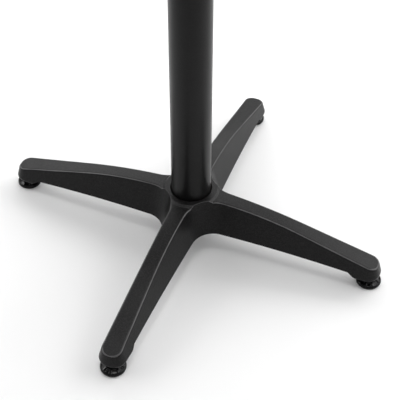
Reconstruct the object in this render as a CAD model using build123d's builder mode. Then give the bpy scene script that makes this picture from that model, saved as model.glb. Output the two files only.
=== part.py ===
from build123d import *
from math import cos, hypot, pi, radians, sin, sqrt, tan
import os

# Four-star pedestal base for a cafe table.
# Frame: origin on the floor under the column, +Z up, one leg along each of -Y, +X, +Y and -X.
# All sizes are in millimetres.

ON_BASE = (Align.CENTER, Align.CENTER, Align.MIN)
FEET = {"front": -90, "right": 0, "back": 90, "left": 180}

# ---- overall ----
FOOT_RADIUS = 366  # column axis to glide axis
TOTAL_HEIGHT = 720  # floor to the face that carries the table top

# ---- star casting: outside ----
DRAFT = 15  # every outside wall leans in by this angle as it rises
HALF_WIDTH_HUB = 49.5  # half width of a leg at floor level, carried back to the axis
PLAN_TAPER = 2.5  # each side of a leg closes in by this angle towards the foot
WEB_RADIUS = 31  # corner between two legs, at floor level
NOSE_REACH = 394  # column axis to the end of a leg, at floor level
NOSE_CORNER = 31  # corner radius of a leg's end, at floor level
NOSE_START = 300  # the rounded ends run from here, under the straight legs ...
LEG_REACH = 365  # ... which reach this far
NOSE_HEIGHT = 72  # height to which the rounded ends are drafted
CROWN_HEIGHT = 113.4  # highest part of a leg, beside the hub
CROWN_START = 35
CROWN_RADIUS = 760  # the leg's back curves down with this radius ...
LEG_SLOPE = 14.4  # ... until it falls at this angle, and then runs straight
TOP_EDGE_FILLET = 4.5
SKIRT_LINE = [(80, 46), (200, 43), (330, 35)]  # lower edge of the legs' sides, an arc: radius, height
FOOT_FACE = 20  # height of the flat under each foot
FOOT_STEP = 350  # radius at which the underside has come down to that flat
FOOT_EDGE_FILLET = 8
BEYOND_LEGS = 400  # a radius that clears every leg

# ---- star casting: hub ----
COLLAR_HEIGHT = 117
COLLAR_RADIUS = 50.5  # flat rim round the column
COLLAR_BEVEL = 5  # width and ...
COLLAR_DROP = 4  # ... height of the bevel round the rim
COLLAR_ROOT = 18  # the collar reaches this far down into the legs below its bevel ...
COLLAR_FLARE = 15  # ... and runs outward by this much on the way
COLLAR_EDGE_FILLET = 1.5
SOCKET_RADIUS = 40.5
SOCKET_FLOOR = 105
SPIGOT_HEIGHT = 14
SPIGOT_CHAMFER = 1.5

# ---- star casting: inside ----
WALL = 4.5
HUB_FLOOR = 92  # underside of the hub's floor
HUB_CORE_RADIUS = 44
CORE_SHOULDER = 62  # radius at which the core has risen to the leg's wall thickness
RIB = 4
RIB_DEPTHS = [(HUB_CORE_RADIUS, 68), (FOOT_RADIUS, 50)]  # lower edge of the long ribs: radius, height
CROSS_RIBS = [120, 190, 260]  # radii of the short ribs across each leg
CROSS_RIB_BASE = 68  # lower edge of the cross ribs
CORE_REACH = 340  # the feet are solid beyond this radius

# ---- column and clamp stack ----
COLUMN_RADIUS = 38.1
COLUMN_WALL = 2.0
SPIGOT_CLEARANCE = 0.2
ROD_RADIUS = 6.0
ROD_HOLE = 6.5
ROD_PROTRUSION = 4  # of the tie rod past each nut
CHAMFER_ROD = 0.9
COLUMN_EDGE = 0.4
WASHER_CHAMFER = 0.4
NUT_CORNER_SLOPE = 0.6  # height of a nut's turned-off corner over its depth
WELL_HEADROOM = 1  # from the tie rod's end to the table top
LOCK_BORE_CLEARANCE = 0.3
LOCK_SPLIT_ANGLE = 20
NUT_M12_FLATS = 18
NUT_M12_HEIGHT = 10
LOCK_M12_RADIUS = 10.5
LOCK_M12_THICKNESS = 3
LOCK_GAP = 2
CLAMP_WASHER_RADIUS = 22
CLAMP_WASHER_THICKNESS = 4
TOP_WASHER_RADIUS = 15
TOP_WASHER_THICKNESS = 2.5
THREAD_CLEARANCE = 0.03

# ---- top spider ----
SPIDER_HUB_RADIUS = 44
SPIDER_HUB_HEIGHT = 24  # from the column's end to the table top
SPIDER_SPIGOT = 12
SPIDER_WELL_RADIUS = 20
SPIDER_WELL_DEPTH = 20
SPIDER_ARM_REACH = 150
SPIDER_ARM_ROOT = 21  # half width of an arm at the axis
SPIDER_ARM_TIP = 13  # half width of an arm at its end
SPIDER_ARM_CORNER = 12
SPIDER_ARM_THICKNESS = 7
SPIDER_RIB_THICKNESS = 6
SPIDER_RIB_REACH = 112
SPIDER_HOLE = 3.5
SPIDER_PITCH_CIRCLES = [180, 276]
SPIDER_RIB_LIFT = 4  # the ribs start this far above the column's end

# ---- levelling glides ----
PAD_RADIUS = 24
PAD_HEIGHT = 12
PAD_SHOULDER = 14.5  # radius of the pad's flat crown
PAD_SIDE_HEIGHT = 7.5
PAD_FOOT_FILLET = 2.5
PAD_SIDE_FILLET = 4
PAD_MOUTH = 4.6
FLANGE_RADIUS = 8
FLANGE_BASE = 4
FLANGE_THICKNESS = 3.2
FLANGE_PLAY = 0.2  # above and below the stud's flange
FLANGE_SIDE_PLAY = 0.3
STUD_RADIUS = 4.0
STUD_FIT = 0.05
STUD_TOP = 44
STUD_HOLE_TOP = 46
STUD_CHAMFER = 0.8
NUT_M8_FLATS = 14
NUT_M8_HEIGHT = 6.3
NUT_M8_BASE = 13.4

# ---- worked out from the above ----
SPIGOT_RADIUS = COLUMN_RADIUS - COLUMN_WALL - SPIGOT_CLEARANCE
COLUMN_TOP = TOTAL_HEIGHT - SPIDER_HUB_HEIGHT

NEAR = 0.5  # how near an edge lies to the height it is picked by

os.makedirs("parts", exist_ok=True)


def side(radius):
    """Half width of a leg at floor level, at a distance from the column axis."""
    return HALF_WIDTH_HUB - radius * tan(radians(PLAN_TAPER))


def leg_plan(inset):
    """Plan of the four crossed legs at floor level, with the corners between them rounded."""
    with BuildSketch() as plan:
        with PolarLocations(0, 4):
            Polygon(
                (0, inset - side(0)),
                (LEG_REACH, inset - side(LEG_REACH)),
                (LEG_REACH, side(LEG_REACH) - inset),
                (0, side(0) - inset),
                align=None,
            )
        fillet(plan.vertices().sort_by(SortBy.DISTANCE)[:4], WEB_RADIUS + inset)
    return plan.sketch


def nose_plan(inset):
    """Plan of the rounded ends of the four legs at floor level."""
    start = side(NOSE_START) - inset
    end = side(NOSE_REACH) - inset
    with BuildSketch() as leg_end:
        Polygon(
            (NOSE_START, -start),
            (NOSE_REACH - inset, -end),
            (NOSE_REACH - inset, end),
            (NOSE_START, start),
            align=None,
        )
        fillet(leg_end.vertices().group_by(Axis.X)[-1], NOSE_CORNER - inset)
    with BuildSketch() as plan:
        with PolarLocations(0, 4):
            add(leg_end.sketch)
    return plan.sketch


def drafted_star(inset):
    """The four crossed legs with drafted walls, before their backs and undersides are shaped."""
    with BuildPart() as star:
        add(leg_plan(inset))
        extrude(amount=COLLAR_HEIGHT, taper=DRAFT)
        add(nose_plan(inset))
        extrude(amount=NOSE_HEIGHT, taper=DRAFT)
    return star.part


def under_crown(drop, reach):
    """Solid of revolution from the floor up to the legs' backs, lowered by drop."""
    with BuildPart() as envelope:
        with BuildSketch(Plane.XZ):
            with BuildLine():
                flat = Line((0, CROWN_HEIGHT - drop), (CROWN_START, CROWN_HEIGHT - drop))
                bend = JernArc(flat @ 1, (1, 0), CROWN_RADIUS, -LEG_SLOPE)
                fall = (reach - (bend @ 1).X) * tan(radians(LEG_SLOPE))
                Polyline(bend @ 1, (reach, (bend @ 1).Y - fall), (reach, 0), (0, 0), flat @ 0)
            make_face()
        revolve(axis=Axis.Z)
    return envelope.part


def crown(radius):
    """Height of the legs' backs at a distance from the column axis."""
    run = CROWN_RADIUS * sin(radians(LEG_SLOPE))
    past_start = max(radius - CROWN_START, 0)
    on_bend = min(past_start, run)
    bend_drop = CROWN_RADIUS - sqrt(CROWN_RADIUS**2 - on_bend**2)
    return CROWN_HEIGHT - bend_drop - (past_start - on_bend) * tan(radians(LEG_SLOPE))


def on_crown_rim(edge):
    """True for the edges where the legs' backs meet their walls and ends."""
    middle = edge @ 0.5
    radius = hypot(middle.X, middle.Y)
    on_centre_line = min(abs(middle.X), abs(middle.Y)) < RIB and radius < LEG_REACH
    on_back = abs(middle.Z - crown(radius)) < NEAR
    return on_back and radius > COLUMN_RADIUS and not on_centre_line and edge.geom_type != GeomType.CIRCLE


def on_foot_rim(edge):
    """True for the outer edges of the flats under the feet."""
    middle = edge @ 0.5
    return abs(middle.Z - FOOT_FACE) < NEAR and hypot(middle.X, middle.Y) > FOOT_STEP + NEAR


def above_collar_foot(edge):
    """True for the collar's edges that stand clear of the legs' backs."""
    return (edge @ 0.5).Z > COLLAR_HEIGHT - COLLAR_DROP - COLLAR_ROOT + NEAR


def hexagon_nut(flats, bore, height, base):
    """A hexagon nut with turned-off corners, standing at the height base on the Z axis."""
    corner = flats / 2 / cos(pi / 6)
    turned = (corner - flats / 2) * NUT_CORNER_SLOPE
    with BuildPart() as nut:
        with BuildSketch(Plane.XY.offset(base)):
            RegularPolygon(corner, 6)
            Circle(bore, mode=Mode.SUBTRACT)
        extrude(amount=height)
        with BuildSketch(Plane.XZ):
            with BuildLine():
                Polyline(
                    (0, base),
                    (flats / 2, base),
                    (corner, base + turned),
                    (corner, base + height - turned),
                    (flats / 2, base + height),
                    (0, base + height),
                    close=True,
                )
            make_face()
        revolve(axis=Axis.Z, mode=Mode.INTERSECT)
    return nut.part


def plain_washer(outer, bore, thickness, base):
    """A flat washer with softened outer edges, lying at the height base on the Z axis."""
    with BuildPart() as washer:
        with BuildSketch(Plane.XY.offset(base)):
            Circle(outer)
            Circle(bore, mode=Mode.SUBTRACT)
        extrude(amount=thickness)
        chamfer(washer.edges().filter_by(GeomType.CIRCLE).sort_by(SortBy.RADIUS)[-2:], WASHER_CHAMFER)
    return washer.part


def lock_washer(base):
    """A split spring washer, clamped flat, at the height base on the Z axis."""
    with BuildPart() as washer:
        with BuildSketch(Plane.XY.offset(base)):
            Circle(LOCK_M12_RADIUS)
            Circle(ROD_RADIUS + LOCK_BORE_CLEARANCE, mode=Mode.SUBTRACT)
            split_length = LOCK_M12_RADIUS * 2 - ROD_RADIUS
            with Locations((LOCK_M12_RADIUS, 0)):
                Rectangle(split_length, LOCK_GAP, rotation=LOCK_SPLIT_ANGLE, mode=Mode.SUBTRACT)
        extrude(amount=LOCK_M12_THICKNESS)
    return washer.part


# ---- the core that hollows the legs from below, with slots left for the ribs ----
with BuildPart() as ribs:
    with BuildSketch(Plane.XZ):
        with BuildLine():
            Polyline(
                RIB_DEPTHS[0],
                RIB_DEPTHS[1],
                (RIB_DEPTHS[1][0], COLLAR_HEIGHT),
                (RIB_DEPTHS[0][0], COLLAR_HEIGHT),
                close=True,
            )
        make_face()
    extrude(amount=RIB / 2, both=True)
    for radius in CROSS_RIBS:
        with Locations((radius, 0, CROSS_RIB_BASE)):
            Box(RIB, HALF_WIDTH_HUB * 2, COLLAR_HEIGHT, align=ON_BASE)

with BuildPart() as core:
    add(drafted_star(WALL))
    add(under_crown(WALL, CORE_REACH), mode=Mode.INTERSECT)
    with BuildSketch(Plane.XZ):
        with BuildLine():
            Polyline(
                (0, HUB_FLOOR),
                (HUB_CORE_RADIUS, HUB_FLOOR),
                (CORE_SHOULDER, COLLAR_HEIGHT),
                (0, COLLAR_HEIGHT),
                close=True,
            )
        make_face()
    revolve(axis=Axis.Z, mode=Mode.SUBTRACT)
    with PolarLocations(0, 4):
        add(ribs.part, mode=Mode.SUBTRACT)

# ---- the collar that stands up round the column ----
with BuildPart() as collar:
    add(leg_plan(0))
    extrude(amount=COLLAR_HEIGHT, taper=DRAFT)
    bevel_end = COLLAR_RADIUS + COLLAR_BEVEL
    bevel_height = COLLAR_HEIGHT - COLLAR_DROP
    with BuildSketch(Plane.XZ):
        with BuildLine():
            Polyline(
                (0, COLLAR_HEIGHT),
                (COLLAR_RADIUS, COLLAR_HEIGHT),
                (bevel_end, bevel_height),
                (bevel_end + COLLAR_FLARE, bevel_height - COLLAR_ROOT),
                (0, bevel_height - COLLAR_ROOT),
                close=True,
            )
        make_face()
    revolve(axis=Axis.Z, mode=Mode.INTERSECT)
    fillet(collar.edges().filter_by(above_collar_foot), COLLAR_EDGE_FILLET)

# ---- the room between the floor, the legs' lower edges and the feet ----
with BuildPart() as room_below:
    with BuildSketch(Plane.XZ):
        with BuildLine():
            Polyline(
                SKIRT_LINE[-1],
                (FOOT_STEP, FOOT_FACE),
                (BEYOND_LEGS, FOOT_FACE),
                (BEYOND_LEGS, 0),
                (0, 0),
                (0, SKIRT_LINE[0][1]),
                SKIRT_LINE[0],
            )
            ThreePointArc(*SKIRT_LINE)
        make_face()
    revolve(axis=Axis.Z)

# ---- star casting ----
with BuildPart() as star_casting:
    add(drafted_star(0))
    add(under_crown(0, BEYOND_LEGS), mode=Mode.INTERSECT)
    fillet(star_casting.edges().filter_by(on_crown_rim), TOP_EDGE_FILLET)
    add(collar.part)
    add(room_below.part, mode=Mode.SUBTRACT)
    fillet(star_casting.edges().filter_by(on_foot_rim), FOOT_EDGE_FILLET)
    add(core.part, mode=Mode.SUBTRACT)
    with Locations((0, 0, SOCKET_FLOOR)):
        Cylinder(SOCKET_RADIUS, COLLAR_HEIGHT, align=ON_BASE, mode=Mode.SUBTRACT)
        Cylinder(SPIGOT_RADIUS, SPIGOT_HEIGHT, align=ON_BASE)
    chamfer(star_casting.edges().filter_by(GeomType.CIRCLE).sort_by(Axis.Z)[-1], SPIGOT_CHAMFER)
    with Locations((0, 0, HUB_FLOOR)):
        Cylinder(ROD_HOLE, COLLAR_HEIGHT, align=ON_BASE, mode=Mode.SUBTRACT)
    with PolarLocations(FOOT_RADIUS, 4):
        with Locations((0, 0, FOOT_FACE)):
            Cylinder(STUD_RADIUS + STUD_FIT, STUD_HOLE_TOP - FOOT_FACE, align=ON_BASE, mode=Mode.SUBTRACT)
star_casting.part.label = "star_casting"
export_step(star_casting.part, "parts/star_casting.step")

# ---- column ----
with BuildPart() as column_tube:
    with BuildSketch(Plane.XY.offset(SOCKET_FLOOR)):
        Circle(COLUMN_RADIUS)
        Circle(COLUMN_RADIUS - COLUMN_WALL, mode=Mode.SUBTRACT)
    extrude(amount=COLUMN_TOP - SOCKET_FLOOR)
    chamfer(column_tube.edges(), COLUMN_EDGE)
column_tube.part.label = "column_tube"
export_step(column_tube.part, "parts/column_tube.step")

# ---- top spider: hub, four flat arms with a rib under each, and a well for the upper nut ----
with BuildPart() as spider_arm:
    with BuildSketch(Plane.XY.offset(TOTAL_HEIGHT)):
        Polygon(
            (0, -SPIDER_ARM_ROOT),
            (SPIDER_ARM_REACH, -SPIDER_ARM_TIP),
            (SPIDER_ARM_REACH, SPIDER_ARM_TIP),
            (0, SPIDER_ARM_ROOT),
            align=None,
        )
    extrude(amount=-SPIDER_ARM_THICKNESS)
    fillet(spider_arm.edges().filter_by(Axis.Z).group_by(Axis.X)[-1], SPIDER_ARM_CORNER)
    with BuildSketch(Plane.XZ):
        with BuildLine():
            Polyline(
                (0, TOTAL_HEIGHT - SPIDER_ARM_THICKNESS),
                (SPIDER_RIB_REACH, TOTAL_HEIGHT - SPIDER_ARM_THICKNESS),
                (SPIDER_HUB_RADIUS, COLUMN_TOP + SPIDER_RIB_LIFT),
                (0, COLUMN_TOP + SPIDER_RIB_LIFT),
                close=True,
            )
        make_face()
    extrude(amount=SPIDER_RIB_THICKNESS / 2, both=True)

with BuildPart() as top_spider:
    with PolarLocations(0, 4):
        add(spider_arm.part)
    with Locations((0, 0, COLUMN_TOP)):
        Cylinder(SPIDER_HUB_RADIUS, SPIDER_HUB_HEIGHT, align=ON_BASE)
    with Locations((0, 0, COLUMN_TOP - SPIDER_SPIGOT)):
        Cylinder(SPIGOT_RADIUS, SPIDER_SPIGOT, align=ON_BASE)
    with Locations((0, 0, TOTAL_HEIGHT - SPIDER_WELL_DEPTH)):
        Cylinder(SPIDER_WELL_RADIUS, SPIDER_WELL_DEPTH, align=ON_BASE, mode=Mode.SUBTRACT)
    with Locations((0, 0, COLUMN_TOP - SPIDER_SPIGOT)):
        Cylinder(ROD_HOLE, SPIDER_HUB_HEIGHT, align=ON_BASE, mode=Mode.SUBTRACT)
    with BuildSketch(Plane.XY.offset(TOTAL_HEIGHT)):
        for pitch_circle in SPIDER_PITCH_CIRCLES:
            with PolarLocations(pitch_circle / 2, 4):
                Circle(SPIDER_HOLE)
    extrude(amount=-SPIDER_HUB_HEIGHT, mode=Mode.SUBTRACT)
top_spider.part.label = "top_spider"
export_step(top_spider.part, "parts/top_spider.step")

# ---- clamp stack: one tie rod pulls the spider, the column and the star together ----
clamp_washer_base = HUB_FLOOR - CLAMP_WASHER_THICKNESS
lower_lock_base = clamp_washer_base - LOCK_M12_THICKNESS
lower_nut_base = lower_lock_base - NUT_M12_HEIGHT
well_floor = TOTAL_HEIGHT - SPIDER_WELL_DEPTH
upper_lock_base = well_floor + TOP_WASHER_THICKNESS
upper_nut_base = upper_lock_base + LOCK_M12_THICKNESS
thin_nut = TOTAL_HEIGHT - WELL_HEADROOM - ROD_PROTRUSION - upper_nut_base

with BuildPart() as tie_rod:
    with BuildSketch(Plane.XY.offset(lower_nut_base - ROD_PROTRUSION)):
        Circle(ROD_RADIUS)
    extrude(amount=upper_nut_base + thin_nut + ROD_PROTRUSION - lower_nut_base + ROD_PROTRUSION)
    chamfer(tie_rod.edges().filter_by(GeomType.CIRCLE), CHAMFER_ROD)
tie_rod.part.label = "tie_rod"
export_step(tie_rod.part, "parts/tie_rod.step")

rod_bore = ROD_RADIUS + THREAD_CLEARANCE
clamp_stack = {
    "lower_clamp_washer": plain_washer(
        CLAMP_WASHER_RADIUS, ROD_HOLE, CLAMP_WASHER_THICKNESS, clamp_washer_base
    ),
    "lower_lock_washer": lock_washer(lower_lock_base),
    "lower_rod_nut": hexagon_nut(NUT_M12_FLATS, rod_bore, NUT_M12_HEIGHT, lower_nut_base),
    "upper_flat_washer": plain_washer(TOP_WASHER_RADIUS, ROD_HOLE, TOP_WASHER_THICKNESS, well_floor),
    "upper_lock_washer": lock_washer(upper_lock_base),
    "upper_rod_nut": hexagon_nut(NUT_M12_FLATS, rod_bore, thin_nut, upper_nut_base),
}
for name, piece in clamp_stack.items():
    piece.label = name
    export_step(piece, f"parts/{name}.step")

# ---- levelling glides: nylon pad, flanged stud that turns in it, and the nut it is turned by ----
with BuildPart() as pad:
    with BuildSketch(Plane.XZ):
        Polygon(
            (0, 0),
            (PAD_RADIUS, 0),
            (PAD_RADIUS, PAD_SIDE_HEIGHT),
            (PAD_SHOULDER, PAD_HEIGHT),
            (0, PAD_HEIGHT),
            align=None,
        )
    revolve(axis=Axis.Z)
    fillet(pad.edges().filter_by(GeomType.CIRCLE).sort_by(Axis.Z)[:1], PAD_FOOT_FILLET)
    fillet(pad.edges().filter_by(GeomType.CIRCLE).group_by(Axis.Z)[-2], PAD_SIDE_FILLET)
    with Locations((0, 0, FLANGE_BASE - FLANGE_PLAY)):
        Cylinder(
            FLANGE_RADIUS + FLANGE_SIDE_PLAY,
            FLANGE_THICKNESS + 2 * FLANGE_PLAY,
            align=ON_BASE,
            mode=Mode.SUBTRACT,
        )
        Cylinder(PAD_MOUTH, PAD_HEIGHT, align=ON_BASE, mode=Mode.SUBTRACT)

with BuildPart() as stud:
    with Locations((0, 0, FLANGE_BASE)):
        Cylinder(FLANGE_RADIUS, FLANGE_THICKNESS, align=ON_BASE)
        Cylinder(STUD_RADIUS, STUD_TOP - FLANGE_BASE, align=ON_BASE)
    chamfer(stud.edges().filter_by(GeomType.CIRCLE).sort_by(Axis.Z)[-1], STUD_CHAMFER)

glide_pieces = {
    "glide_pad": pad.part,
    "glide_stud": stud.part,
    "glide_nut": hexagon_nut(NUT_M8_FLATS, STUD_RADIUS + THREAD_CLEARANCE, NUT_M8_HEIGHT, NUT_M8_BASE),
}
for foot, angle in FEET.items():
    for name, piece in glide_pieces.items():
        with BuildPart() as placed:
            with PolarLocations(FOOT_RADIUS, 1, start_angle=angle):
                add(piece)
        placed.part.label = f"{name}_{foot}"
        export_step(placed.part, f"parts/{name}_{foot}.step")
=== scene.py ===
from math import cos, pi, radians, sin, tan

import bmesh
import bpy
from mathutils import Matrix, Vector


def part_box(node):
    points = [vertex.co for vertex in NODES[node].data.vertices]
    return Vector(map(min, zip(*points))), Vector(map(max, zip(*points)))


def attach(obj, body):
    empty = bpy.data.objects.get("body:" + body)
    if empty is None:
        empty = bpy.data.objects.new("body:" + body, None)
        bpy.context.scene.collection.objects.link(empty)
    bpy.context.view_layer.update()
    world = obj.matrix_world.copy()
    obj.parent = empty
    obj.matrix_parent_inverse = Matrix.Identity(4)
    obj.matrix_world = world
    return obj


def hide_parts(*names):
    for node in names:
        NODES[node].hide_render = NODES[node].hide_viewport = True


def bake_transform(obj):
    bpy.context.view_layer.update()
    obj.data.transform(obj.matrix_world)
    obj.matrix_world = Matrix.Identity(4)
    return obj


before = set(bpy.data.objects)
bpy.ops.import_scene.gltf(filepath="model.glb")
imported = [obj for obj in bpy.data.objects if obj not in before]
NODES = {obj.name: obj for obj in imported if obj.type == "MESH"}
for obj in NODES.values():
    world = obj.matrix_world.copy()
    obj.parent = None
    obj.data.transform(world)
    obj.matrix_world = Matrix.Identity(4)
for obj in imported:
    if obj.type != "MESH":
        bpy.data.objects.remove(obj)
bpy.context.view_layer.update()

# Looks of a four-star pedestal table base. Everything is in metres, in the frame of the CAD model:
# origin on the floor under the column, +Z up, one leg along each of -Y, +X, +Y and -X.

MM = 0.001
FEET = ("front", "right", "back", "left")
LEG_ANGLES = {foot: pi / 2 * (k - 1) for k, foot in enumerate(FEET)}


# ---------------------------------------------------------------- node helpers
def material(name, colour, roughness, metallic=0.0, specular=0.5):
    """A new node material, its shader, and the object-space coordinates its textures share."""
    m = bpy.data.materials.new(name)
    m.use_nodes = True
    tree = m.node_tree
    shader = tree.nodes["Principled BSDF"]
    shader.inputs["Base Color"].default_value = (*colour, 1)
    shader.inputs["Roughness"].default_value = roughness
    shader.inputs["Metallic"].default_value = metallic
    shader.inputs["Specular IOR Level"].default_value = specular
    place = tree.nodes.new("ShaderNodeTexCoord").outputs["Object"]
    return m, tree, shader, place


def noise(tree, place, scale, detail=2.0, rough=0.5, stretch=None, distortion=0.0):
    """Grey noise with features of about 1 / scale metres, shorter along an axis with a stretch above 1."""
    if stretch:
        squeeze = tree.nodes.new("ShaderNodeMapping")
        squeeze.inputs["Scale"].default_value = stretch
        tree.links.new(place, squeeze.inputs["Vector"])
        place = squeeze.outputs["Vector"]
    n = tree.nodes.new("ShaderNodeTexNoise")
    n.inputs["Scale"].default_value = scale
    n.inputs["Detail"].default_value = detail
    n.inputs["Roughness"].default_value = rough
    n.inputs["Distortion"].default_value = distortion
    tree.links.new(place, n.inputs["Vector"])
    return n.outputs["Fac"]


def spread(tree, value, low, high, to_low=0.0, to_high=1.0):
    """Maps value from low..high to to_low..to_high, held at both ends."""
    n = tree.nodes.new("ShaderNodeMapRange")
    n.inputs["From Min"].default_value = low
    n.inputs["From Max"].default_value = high
    n.inputs["To Min"].default_value = to_low
    n.inputs["To Max"].default_value = to_high
    tree.links.new(value, n.inputs["Value"])
    return n.outputs["Result"]


def mix(tree, fac, a, b):
    """A colour between a and b; each is a colour or a socket."""
    n = tree.nodes.new("ShaderNodeMix")
    n.data_type = "RGBA"
    tree.links.new(fac, n.inputs["Factor"])
    for socket, value in ((n.inputs[6], a), (n.inputs[7], b)):
        if isinstance(value, tuple):
            socket.default_value = (*value, 1)
        else:
            tree.links.new(value, socket)
    return n.outputs[2]


def blend(tree, fac, a, b):
    """A value between a and b."""
    n = tree.nodes.new("ShaderNodeMix")
    n.data_type = "FLOAT"
    for socket, value in ((n.inputs[0], fac), (n.inputs[2], a), (n.inputs[3], b)):
        tree.links.new(value, socket)
    return n.outputs[0]


def combine(tree, a, b, operation="MULTIPLY"):
    """Two values in one operation; each is a number or a socket."""
    n = tree.nodes.new("ShaderNodeMath")
    n.operation = operation
    for socket, value in ((n.inputs[0], a), (n.inputs[1], b)):
        if isinstance(value, float):
            socket.default_value = value
        else:
            tree.links.new(value, socket)
    return n.outputs[0]


def between(tree, value, rise, fall):
    """1 between two bands of value and 0 outside them, with a slope across each band."""
    return combine(tree, spread(tree, value, *rise), spread(tree, value, *fall, 1.0, 0.0))


def height_of(tree, vector):
    """The Z part of a vector."""
    n = tree.nodes.new("ShaderNodeSeparateXYZ")
    tree.links.new(vector, n.inputs[0])
    return n.outputs["Z"]


def radius_of(tree, place):
    """Distance from the Z axis."""
    flat = tree.nodes.new("ShaderNodeVectorMath")
    flat.operation = "MULTIPLY"
    flat.inputs[1].default_value = (1.0, 1.0, 0.0)
    tree.links.new(place, flat.inputs[0])
    n = tree.nodes.new("ShaderNodeVectorMath")
    n.operation = "LENGTH"
    tree.links.new(flat.outputs["Vector"], n.inputs[0])
    return n.outputs["Value"]


def bump(tree, height, depth, below=None):
    """Relief of the given depth in metres, laid over the relief below it."""
    n = tree.nodes.new("ShaderNodeBump")
    n.inputs["Strength"].default_value = 1.0
    n.inputs["Distance"].default_value = depth
    tree.links.new(height, n.inputs["Height"])
    if below:
        tree.links.new(below, n.inputs["Normal"])
    return n.outputs["Normal"]


def shade(colour, factor):
    """A colour made lighter or darker."""
    return tuple(c * factor for c in colour)


# ---------------------------------------------------------------- materials
DARK_PATCH, LIGHT_PATCH = 0.82, 1.2  # the coat's slow changes of tone, as shares of its colour
GRIT, SCUFF = 4.5, 1.9  # its paler specks and scuffs, likewise
# painted highlight: a pale line along rounded edges that stands in for the lights' reflections there
PAINTED_EDGE_HIGHLIGHT = (0.13, 0.128, 0.13)
ROUGHNESS_DRIFT = 0.05
EDGE_POLISH = 0.03  # how much smoother the edges under the painted highlight are

# Edges for the painted highlight are found by how far a face looks up: 0 is a wall, 1 is level.
LEG_EDGE_FROM, LEG_EDGE_TO = (0.56, 0.7), (0.84, 0.93)
HUB_EDGE_FROM, HUB_EDGE_TO = (0.44, 0.58), (0.66, 0.8)
HUB_ENDS = (0.056, 0.062)  # radii between which the hub gives way to the legs


def powder_coat(name, colour, roughness, specular, grain, peel, gritty, scuffs, painted_highlight_strength=0.0):
    """Black powder coat: fine grain over orange peel, paler grit, faint scuffs, and a painted highlight
    along rounded edges, which are also made smoother."""
    m, tree, shader, place = material(name, colour, roughness, specular=specular)
    link = tree.links.new
    tone = noise(tree, place, 7, detail=4, rough=0.6)
    fine = noise(tree, place, 900, detail=2)
    cloud = noise(tree, place, 38, detail=3)
    body = mix(tree, spread(tree, tone, 0.35, 0.65), shade(colour, DARK_PATCH), shade(colour, LIGHT_PATCH))
    grit = noise(tree, place, 430, detail=3, rough=0.65)
    specks = mix(tree, spread(tree, grit, 0.42, 0.66, 0.0, gritty), body, shade(colour, GRIT))
    streaks = noise(tree, place, 55, detail=5, rough=0.7, stretch=(1.0, 1.0, 3.5), distortion=0.6)
    coat = mix(tree, spread(tree, streaks, 0.64, 0.76, 0.0, scuffs), specks, shade(colour, SCUFF))
    matt = spread(tree, cloud, 0.25, 0.75, roughness, roughness + ROUGHNESS_DRIFT)
    if painted_highlight_strength:
        rise = height_of(tree, tree.nodes.new("ShaderNodeTexCoord").outputs["Normal"])
        on_legs = between(tree, rise, LEG_EDGE_FROM, LEG_EDGE_TO)
        on_hub = between(tree, rise, HUB_EDGE_FROM, HUB_EDGE_TO)
        edge = blend(tree, spread(tree, radius_of(tree, place), *HUB_ENDS), on_hub, on_legs)
        # painted highlight: the edge band is lightened to stand in for the lights' reflections, and made a
        # little smoother
        highlight_band = combine(tree, edge, spread(tree, cloud, 0.3, 0.7, 0.6, 1.0))
        coat = mix(tree, combine(tree, highlight_band, painted_highlight_strength), coat, PAINTED_EDGE_HIGHLIGHT)
        matt = combine(tree, matt, combine(tree, highlight_band, EDGE_POLISH), "SUBTRACT")
    link(coat, shader.inputs["Base Color"])
    link(matt, shader.inputs["Roughness"])
    waves = bump(tree, noise(tree, place, 380, detail=2), peel)
    link(bump(tree, fine, grain, waves), shader.inputs["Normal"])
    return m


NYLON_BLACK = (0.0035, 0.0035, 0.0037)
NYLON_DEEP, NYLON_PALE = (0.003, 0.003, 0.0032), (0.005, 0.005, 0.0053)
NYLON_GROUND = (0.03, 0.029, 0.028)  # where it drags on the floor
NYLON_GROUND_HEIGHTS = (0.0012, 0.0035)
GROUND_DULLNESS = 0.4


def moulded_nylon(name):
    """Glossy black nylon, dulled where it drags on the floor."""
    m, tree, shader, place = material(name, NYLON_BLACK, 0.1, specular=0.15)
    link = tree.links.new
    low = spread(tree, height_of(tree, place), *NYLON_GROUND_HEIGHTS, 1.0, 0.0)
    patchy = combine(tree, low, spread(tree, noise(tree, place, 420, detail=4), 0.35, 0.6))
    cloud = mix(tree, noise(tree, place, 120, detail=3), NYLON_DEEP, NYLON_PALE)
    link(mix(tree, patchy, cloud, NYLON_GROUND), shader.inputs["Base Color"])
    gloss = spread(tree, noise(tree, place, 260, detail=3), 0.3, 0.7, 0.06, 0.14)
    dull = combine(tree, patchy, GROUND_DULLNESS)
    link(combine(tree, gloss, dull, "ADD"), shader.inputs["Roughness"])
    ripple = bump(tree, noise(tree, place, 160, detail=1), 0.04 * MM)
    link(bump(tree, noise(tree, place, 2600, detail=2), 0.004 * MM, ripple), shader.inputs["Normal"])
    return m


def plated_steel(name, pale, deep, roughness):
    """Plated steel: a faint tint that drifts, duller patches, and fine machining lines round the Z axis."""
    m, tree, shader, place = material(name, pale, roughness, metallic=1.0)
    link = tree.links.new
    drift = spread(tree, noise(tree, place, 90, detail=4, rough=0.6), 0.32, 0.68)
    link(mix(tree, drift, pale, deep), shader.inputs["Base Color"])
    blotch = noise(tree, place, 240, detail=4, rough=0.65)
    link(spread(tree, blotch, 0.3, 0.7, roughness - 0.08, roughness + 0.14), shader.inputs["Roughness"])
    lines = noise(tree, place, 30, detail=3, stretch=(1.0, 1.0, 120.0))
    pits = noise(tree, place, 1500, detail=2)
    link(bump(tree, pits, 0.006 * MM, bump(tree, lines, 0.02 * MM)), shader.inputs["Normal"])
    return m


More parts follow.
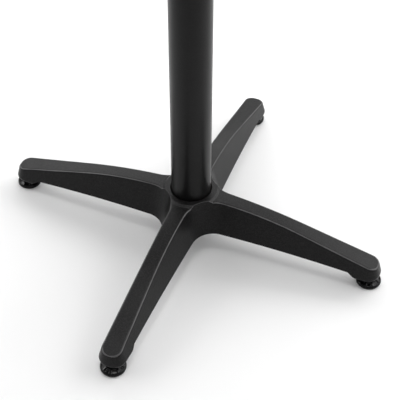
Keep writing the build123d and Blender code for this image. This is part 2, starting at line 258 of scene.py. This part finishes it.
casting_coat = powder_coat(
    "casting_coat",
    colour=(0.0036, 0.0035, 0.0036),
    roughness=0.31,
    specular=0.14,
    grain=0.06 * MM,
    peel=0.2 * MM,
    gritty=0.8,
    scuffs=0.5,
    # strength of the painted edge highlight
    painted_highlight_strength=0.8,
)
tube_coat = powder_coat(
    "tube_coat",
    colour=(0.0037, 0.0036, 0.0037),
    roughness=0.3,
    specular=0.18,
    grain=0.03 * MM,
    peel=0.04 * MM,
    gritty=0.3,
    scuffs=0.3,
)
zinc = plated_steel("zinc", (0.6, 0.61, 0.63), (0.5, 0.49, 0.46), 0.3)
black_zinc = plated_steel("black_zinc", (0.045, 0.046, 0.05), (0.03, 0.029, 0.028), 0.34)
nylon = moulded_nylon("nylon")

for node, coat in (
    ("star_casting", casting_coat),
    ("column_tube", tube_coat),
    ("top_spider", tube_coat),
    ("lower_clamp_washer", zinc),
    ("upper_flat_washer", zinc),
):
    for material_slot in NODES[node].material_slots:
        material_slot.material = coat


# ---------------------------------------------------------------- meshes
WELD = 1e-7


def shape(name, verts, faces, m, body, slot, replaces, sharp):
    """A mesh piece that rides on a body and stands for a CAD node. Edges over sharp degrees stay crisp."""
    mesh = bpy.data.meshes.new(name)
    mesh.from_pydata(verts, [], faces)
    mesh.validate()
    work = bmesh.new()
    work.from_mesh(mesh)
    bmesh.ops.remove_doubles(work, verts=work.verts, dist=WELD)
    bmesh.ops.recalc_face_normals(work, faces=work.faces)
    work.to_mesh(mesh)
    work.free()
    mesh.shade_smooth()
    mesh.set_sharp_from_angle(angle=radians(sharp))
    mesh.materials.append(m)
    piece = bpy.data.objects.new(name, mesh)
    bpy.context.scene.collection.objects.link(piece)
    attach(piece, body)
    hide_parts(replaces)


def turned(rows, centre, has_bore=False):
    """Vertices and faces of a closed surface made of rings about a vertical axis. Each row is a list of
    (radius, height, angle), and every row has the same number of points. The first and the last row are
    filled in, or joined to each other where the shape has a bore."""
    verts = []
    faces = []
    n = len(rows[0])
    for row in rows:
        verts += [(centre.x + r * cos(a), centre.y + r * sin(a), z) for r, z, a in row]
    for k in range(len(rows) - 1):
        for i in range(n):
            j = (i + 1) % n
            faces.append((k * n + i, k * n + j, (k + 1) * n + j, (k + 1) * n + i))
    last = (len(rows) - 1) * n
    if has_bore:
        faces += [(last + i, last + (i + 1) % n, (i + 1) % n, i) for i in range(n)]
    else:
        faces.append(tuple(range(n))[::-1])
        faces.append(tuple(last + i for i in range(n)))
    return verts, faces


def ring(radius, height, n):
    """A level row of n points."""
    return [(radius, height, 2 * pi * i / n) for i in range(n)]


def place_of(node):
    """A CAD node's centre, lowest height and highest height."""
    low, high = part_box(node)
    return (low + high) / 2, low.z, high.z


# ---- threads ----
THREAD_COLUMNS = 36
THREAD_ROWS = 10  # to each pitch
THREAD_DEPTH = 0.61  # of the pitch
THREAD_FLAT = 0.12  # share of a flank's rise left flat at the root, and again at the crest


def thread_radius(major, pitch, z, angle):
    """Radius of a 60 degree thread with flat crests and roots."""
    phase = (z / pitch - angle / (2 * pi)) % 1.0
    rise = 1 - abs(2 * phase - 1)
    flank = min(max((rise - THREAD_FLAT) / (1 - 2 * THREAD_FLAT), 0.0), 1.0)
    return major - THREAD_DEPTH * pitch * (1 - flank)


def threaded(major, pitch, low, high, chamfer_low, chamfer_high):
    """Rows of a threaded length. An end with a chamfer runs out under a 45 degree cone."""
    count = round((high - low) / pitch * THREAD_ROWS)
    angles = [2 * pi * i / THREAD_COLUMNS for i in range(THREAD_COLUMNS)]
    rows = []
    for k in range(count + 1):
        z = low + (high - low) * k / count
        room = min(
            z - low + (major - chamfer_low) if chamfer_low else major,
            high - z + (major - chamfer_high) if chamfer_high else major,
        )
        rows.append([(min(thread_radius(major, pitch, z, a), room), z, a) for a in angles])
    return rows


# ---- tie rod: threaded at both ends, plain between ----
ROD = 6 * MM
ROD_PITCH = 1.75 * MM
ROD_THREAD = 45 * MM
ROD_CHAMFER = 1.1 * MM
SHANK = 5.5 * MM
RUNOUT = 2 * MM
THREAD_SHARP = 50
axis, rod_low, rod_high = place_of("tie_rod")
rows = threaded(ROD, ROD_PITCH, rod_low, rod_low + ROD_THREAD, ROD_CHAMFER, 0)
rows += [ring(SHANK, rod_low + ROD_THREAD + RUNOUT, THREAD_COLUMNS)]
rows += [ring(SHANK, rod_high - ROD_THREAD - RUNOUT, THREAD_COLUMNS)]
rows += threaded(ROD, ROD_PITCH, rod_high - ROD_THREAD, rod_high, 0, ROD_CHAMFER)
shape("rod_threaded", *turned(rows, axis), zinc, "base", "zinc_steel", "tie_rod", THREAD_SHARP)

# ---- levelling studs: flange in the pad, threaded shank up into the foot ----
STUD = 4 * MM
STUD_PITCH = 1.25 * MM
STUD_CHAMFER = 0.9 * MM
STUD_NECK = 3.7 * MM
NECK_TOP, THREAD_START = 0.8 * MM, 1.5 * MM  # above the flange
FLANGE = 8 * MM
FLANGE_HEIGHT = 3.2 * MM
FLANGE_CHAMFER = 0.5 * MM
for foot in FEET:
    node = f"glide_stud_{foot}"
    axis, low, high = place_of(node)
    flange_top = low + FLANGE_HEIGHT
    profile = [
        (FLANGE - FLANGE_CHAMFER, low),
        (FLANGE, low + FLANGE_CHAMFER),
        (FLANGE, flange_top - FLANGE_CHAMFER),
        (FLANGE - FLANGE_CHAMFER, flange_top),
        (STUD, flange_top),
        (STUD_NECK, flange_top + NECK_TOP),
    ]
    rows = [ring(r, z, THREAD_COLUMNS) for r, z in profile]
    rows += threaded(STUD, STUD_PITCH, flange_top + THREAD_START, high, 0, STUD_CHAMFER)
    name = f"stud_threaded_{foot}"
    shape(name, *turned(rows, axis), black_zinc, f"stud_{foot}", "black_zinc_steel", node, THREAD_SHARP)


# ---- hexagon nuts: 30 degree chamfers, countersunk bore, blunted corners ----
NUT_SIDE_STEPS = 12
NUT_CORNER = 0.35 * MM  # taken off each corner
NUT_CHAMFER_ANGLE = radians(30)
NUT_FACE_INSET = 0.25 * MM  # from the flats to the round face inside the chamfer
NUT_CHAMFER_REACH = 0.3 * MM  # the chamfered zone goes on this far past the corners' end
NUT_CHAMFER_LEVELS = (0, 0.3, 0.55, 0.8, 1.0)
NUT_SINK = 0.9 * MM
NUT_SHARP = 28
M12_BORE, M8_BORE = 5.6 * MM, 3.7 * MM


def hexagon(flats, bore, low, high, start):
    """Rows of a nut, from its lower outer edge up and down again through the bore."""
    n = 6 * NUT_SIDE_STEPS
    reach = flats / 2
    tip = reach / cos(pi / 6)
    angles = [2 * pi * i / n for i in range(n)]

    def outer_radius(angle, z):
        from_middle = (angle + pi / 6) % (pi / 3) - pi / 6
        side = min(reach / cos(from_middle), tip - NUT_CORNER)
        chamfer = reach - NUT_FACE_INSET + min(z - low, high - z) / tan(NUT_CHAMFER_ANGLE)
        return min(side, chamfer)

    depth = (tip - reach + NUT_CHAMFER_REACH) * tan(NUT_CHAMFER_ANGLE)
    heights = [low + depth * level for level in NUT_CHAMFER_LEVELS]
    heights += [high - depth * level for level in reversed(NUT_CHAMFER_LEVELS)]
    rows = [[(outer_radius(a, z), z, a + start) for a in angles] for z in heights]
    inside = [
        (bore + NUT_SINK, high), (bore, high - NUT_SINK), (bore, low + NUT_SINK), (bore + NUT_SINK, low),
    ]
    return rows + [[(r, z, a + start) for a in angles] for r, z in inside]


def nut(node, body, m, slot, bore, start):
    """A nut in place of a CAD one; start turns it about its axis."""
    axis, low, high = place_of(node)
    near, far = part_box(node)
    flats = min(far.x - near.x, far.y - near.y)
    rows = hexagon(flats, bore, low, high, start)
    shape(node.replace("nut", "hexagon"), *turned(rows, axis, has_bore=True), m, body, slot, node, NUT_SHARP)


nut("lower_rod_nut", "base", zinc, "zinc_steel", M12_BORE, 0.0)
nut("upper_rod_nut", "base", zinc, "zinc_steel", M12_BORE, 0.0)
for foot in FEET:
    nut(f"glide_nut_{foot}", f"stud_{foot}", black_zinc, "black_zinc_steel", M8_BORE, LEG_ANGLES[foot])


# ---- spring washers: keystone section, cut through at one place ----
SPRING_OUTER = 10.3 * MM
SPRING_INNER = 6.35 * MM
SPRING_STEPS = 72
SPRING_GAP = radians(11)
SPRING_SLANT = radians(9)  # of the cut, from the lower face to the upper one
SPRING_SHARP = 30
KEY_DROP = 0.1 * MM  # of each face from the bore to the rim
RIM_INSET = 0.3 * MM
RIM_BEVEL = 0.5 * MM


def spring_washer(node):
    """A split washer in place of a CAD one."""
    axis, low, high = place_of(node)
    section = [
        (SPRING_INNER, low),
        (SPRING_OUTER - RIM_INSET, low + KEY_DROP),
        (SPRING_OUTER, low + RIM_BEVEL),
    ]
    section += [(r, high - (z - low)) for r, z in reversed(section)]
    verts = []
    for k in range(SPRING_STEPS + 1):
        for r, z in section:
            lean = SPRING_SLANT * (z - low) / (high - low) - SPRING_SLANT / 2
            a = SPRING_GAP / 2 + (2 * pi - SPRING_GAP) * k / SPRING_STEPS + lean
            verts.append((axis.x + r * cos(a), axis.y + r * sin(a), z))
    n = len(section)
    faces = [
        (k * n + i, (k + 1) * n + i, (k + 1) * n + (i + 1) % n, k * n + (i + 1) % n)
        for k in range(SPRING_STEPS)
        for i in range(n)
    ]
    faces += [tuple(range(n)), tuple(SPRING_STEPS * n + i for i in reversed(range(n)))]
    shape(node.replace("lock", "spring"), verts, faces, zinc, "base", "zinc_steel", node, SPRING_SHARP)


spring_washer("lower_lock_washer")
spring_washer("upper_lock_washer")


# ---- pads: moulded skirt, eight ribs with scooped pockets between them, collar round the stud ----
PAD_COLUMNS = 192
PAD_SHARP = 40
PAD_TURN = {"front": radians(11), "right": radians(-4), "back": radians(20), "left": radians(-10)}
RIBS = 8
RIB_FOOT, RIB_SIDE = 0.55, 0.35  # a rib's foot on the wave that lays out the ribs, and its rise from there
POCKET_DEPTH = 2.2
POCKET_OUTER, POCKET_OUTER_RAMP = 21.6, 1.6  # radius where the pockets begin, and how they deepen inwards
POCKET_INNER, POCKET_INNER_RAMP = 14.0, 1.3

# (radius, height over the floor), in mm
PAD_UNDERSIDE = [
    (0.6, 0.9), (9.0, 0.9), (9.5, 0.75), (9.7, 0.1), (9.9, 0.0), (14.2, 0.0), (14.4, 0.1),
    (14.6, 0.6), (15.2, 0.6), (15.4, 0.1), (15.6, 0.0), (20.8, 0.0), (21.6, 0.1),
]
PAD_SKIRT = [
    (22.6, 0.55), (23.3, 1.2), (23.75, 2.0), (23.95, 3.0), (24.0, 4.2), (23.9, 5.4),
    (23.6, 6.3), (23.0, 7.2), (22.2, 7.95),
]
PAD_SHOULDER = [
    (21.4, 8.5), (20.8, 8.8), (20.2, 9.1), (19.4, 9.5), (18.6, 9.9), (17.8, 10.3),
    (17.0, 10.65), (16.2, 11.0), (15.4, 11.35), (14.8, 11.6), (14.2, 11.8),
]
# (radius, depth under the pad's top), in mm
PAD_CROWN = [
    (13.6, 0.08), (12.6, 0), (8.4, 0), (8.0, 0.15), (7.8, 0.6),
    (6.2, 0.9), (5.2, 1.0), (4.75, 1.3), (4.6, 1.8),
]
# (radius, height over the floor), in mm
PAD_SOCKET = [(4.6, 7.6), (0.6, 7.5)]


def smooth_step(x):
    x = min(max(x, 0.0), 1.0)
    return x * x * (3 - 2 * x)


def pad_rows(low, high, turn):
    """Rows from the centre of the underside, round the skirt, over the ribs and into the socket."""
    def lathe(profile):
        return [ring(r * MM, low + z * MM, PAD_COLUMNS) for r, z in profile]

    def ribbed(r, z):
        window = smooth_step((POCKET_OUTER - r) / POCKET_OUTER_RAMP)
        window *= smooth_step((r - POCKET_INNER) / POCKET_INNER_RAMP)
        row = []
        for i in range(PAD_COLUMNS):
            a = 2 * pi * i / PAD_COLUMNS
            wave = 0.5 + 0.5 * cos(RIBS * (a - turn))
            rib = smooth_step((wave - RIB_FOOT) / RIB_SIDE)
            row.append((r * MM, low + (z - POCKET_DEPTH * (1 - rib) * window) * MM, a))
        return row

    top = (high - low) / MM
    crown = [(r, top - depth) for r, depth in PAD_CROWN]
    shoulder = [ribbed(r, z) for r, z in PAD_SHOULDER]
    return lathe(PAD_UNDERSIDE + PAD_SKIRT) + shoulder + lathe(crown + PAD_SOCKET)


for foot in FEET:
    node = f"glide_pad_{foot}"
    axis, low, high = place_of(node)
    rows = pad_rows(low, high, PAD_TURN[foot])
    shape(f"pad_moulding_{foot}", *turned(rows, axis), nylon, f"pad_{foot}", "nylon", node, PAD_SHARP)


# ---------------------------------------------------------------- floor
PAPER = (0.84, 0.84, 0.84)
PAPER_MOTTLE = 0.985
FLOOR_RADIUS = 1.7
FLOOR_DROP = 0.2 * MM  # below the pads, so that the two never share a plane
FLOOR_RINGS = 34
FLOOR_STEPS = 24


def matt_paper():
    """Plain matt paper with the faintest mottle, clear from below so that the underside can be seen."""
    m, tree, shader, place = material("paper", PAPER, 0.95, specular=0.0)
    link = tree.links.new
    tone = noise(tree, place, 1.5, detail=2)
    link(mix(tree, tone, shade(PAPER, PAPER_MOTTLE), PAPER), shader.inputs["Base Color"])
    from_below = tree.nodes.new("ShaderNodeNewGeometry").outputs["Backfacing"]
    clear = tree.nodes.new("ShaderNodeBsdfTransparent").outputs[0]
    either = tree.nodes.new("ShaderNodeMixShader")
    for socket, value in zip(either.inputs, (from_below, shader.outputs[0], clear)):
        link(value, socket)
    link(either.outputs[0], tree.nodes["Material Output"].inputs["Surface"])
    return m


def floor_sector(foot, side, paper):
    """An eighth of a round floor, from the line midway between two legs to the line under a leg, on the
    side that is 1 or -1. The floor is flat and level, just under the pads."""
    midway = LEG_ANGLES[foot] + side * pi / 4
    verts = [(0, 0, -FLOOR_DROP)]
    for k in range(1, FLOOR_RINGS + 1):
        r = FLOOR_RADIUS * k / FLOOR_RINGS
        for i in range(FLOOR_STEPS + 1):
            a = midway - side * pi / 4 * i / FLOOR_STEPS
            verts.append((r * cos(a), r * sin(a), -FLOOR_DROP))
    n = FLOOR_STEPS + 1
    faces = [(0, 1 + i, 2 + i) for i in range(FLOOR_STEPS)]
    for first in range(1, len(verts) - n, n):
        faces += [(first + i, first + n + i, first + n + i + 1, first + i + 1) for i in range(FLOOR_STEPS)]
    if side > 0:
        faces = [face[::-1] for face in faces]
    name = f"floor_{foot}_{'left' if side > 0 else 'right'}"
    mesh = bpy.data.meshes.new(name)
    mesh.from_pydata(verts, [], faces)
    mesh.shade_smooth()
    mesh.materials.append(paper)
    sector = bpy.data.objects.new(name, mesh)
    bpy.context.scene.collection.objects.link(sector)
    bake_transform(sector)


paper = matt_paper()
for foot in FEET:
    for side in (1, -1):
        floor_sector(foot, side, paper)


# ---------------------------------------------------------------- camera
CAMERA_PLACE = Vector((0.5509, -1.3375, 1.5158))
CAMERA_TURN = radians(21.71)  # of the line of sight about +Z, from +Y
CAMERA_DIP = radians(44.76)  # of the line of sight below the horizon
CAMERA_ROLL = radians(0.27)
CAMERA_LENS = 93.82
CAMERA_SENSOR = 36

camera_data = bpy.data.cameras.new("camera")
camera_data.sensor_width = CAMERA_SENSOR
camera_data.lens = CAMERA_LENS
camera = bpy.data.objects.new("camera", camera_data)
bpy.context.scene.collection.objects.link(camera)
camera.matrix_world = (
    Matrix.Translation(CAMERA_PLACE)
    @ Matrix.Rotation(CAMERA_TURN, 4, "Z")
    @ Matrix.Rotation(pi / 2 - CAMERA_DIP, 4, "X")
    @ Matrix.Rotation(CAMERA_ROLL, 4, "Z")
)
bpy.context.scene.camera = camera


# ---------------------------------------------------------------- lights
LIGHT_AIM = Vector((0, 0, 0.1))

# name, direction about +Z from the line of sight, elevation, distance, width, height, radiance
SOFT_BOXES = (
    ("backdrop", -7, 35, 2.8, 5.2, 2.0, 2.5),
    ("side_left", 82, 26, 2.8, 2.4, 1.8, 2.2),
    ("side_right", -78, 30, 2.8, 2.8, 2.2, 2.9),
    ("key", 180, 84, 2.4, 0.7, 0.7, 7.0),
    ("fill", 180, 50, 3.0, 2.4, 1.2, 0.4),
)
# These light nothing, and only show as reflections: the bright lines along the rounded edges.
EDGE_BOXES = (
    ("edge_overhead", -150, 77, 4.0, 1.9, 1.9, 6.5),
    ("edge_left", 75, 50, 4.0, 1.6, 1.6, 9.0),
    ("edge_right", -105, 52, 4.0, 1.4, 1.4, 7.0),
)


def soft_light(name, turn, elevation, distance, width, height, radiance):
    """A soft box that faces the hub and isn't seen itself."""
    data = bpy.data.lights.new(name, "AREA")
    data.shape = "RECTANGLE"
    data.size = width
    data.size_y = height
    data.energy = radiance * pi * width * height
    light = bpy.data.objects.new(name, data)
    bpy.context.scene.collection.objects.link(light)
    a = CAMERA_TURN + radians(turn)
    rise = radians(elevation)
    away = Vector((-sin(a) * cos(rise), cos(a) * cos(rise), sin(rise)))
    light.location = away * distance + LIGHT_AIM
    light.rotation_euler = (-away).to_track_quat("-Z", "Y").to_euler()
    light.visible_camera = False
    return light


for soft_box in SOFT_BOXES:
    soft_light(*soft_box)
for soft_box in EDGE_BOXES:
    soft_light(*soft_box).visible_diffuse = False


# ---- surroundings: pale where they are seen, dimmer as a source of light ----
WORLD_AS_LIGHT, WORLD_AS_SEEN = 0.36, 0.97

world = bpy.data.worlds.new("studio")
world.use_nodes = True
tree = world.node_tree
background = tree.nodes["Background"]
background.inputs["Color"].default_value = (1, 1, 1, 1)
seen = tree.nodes.new("ShaderNodeLightPath").outputs["Is Camera Ray"]
tree.links.new(spread(tree, seen, 0.0, 1.0, WORLD_AS_LIGHT, WORLD_AS_SEEN), background.inputs["Strength"])
bpy.context.scene.world = world
bpy.context.scene.view_settings.view_transform = "Standard"
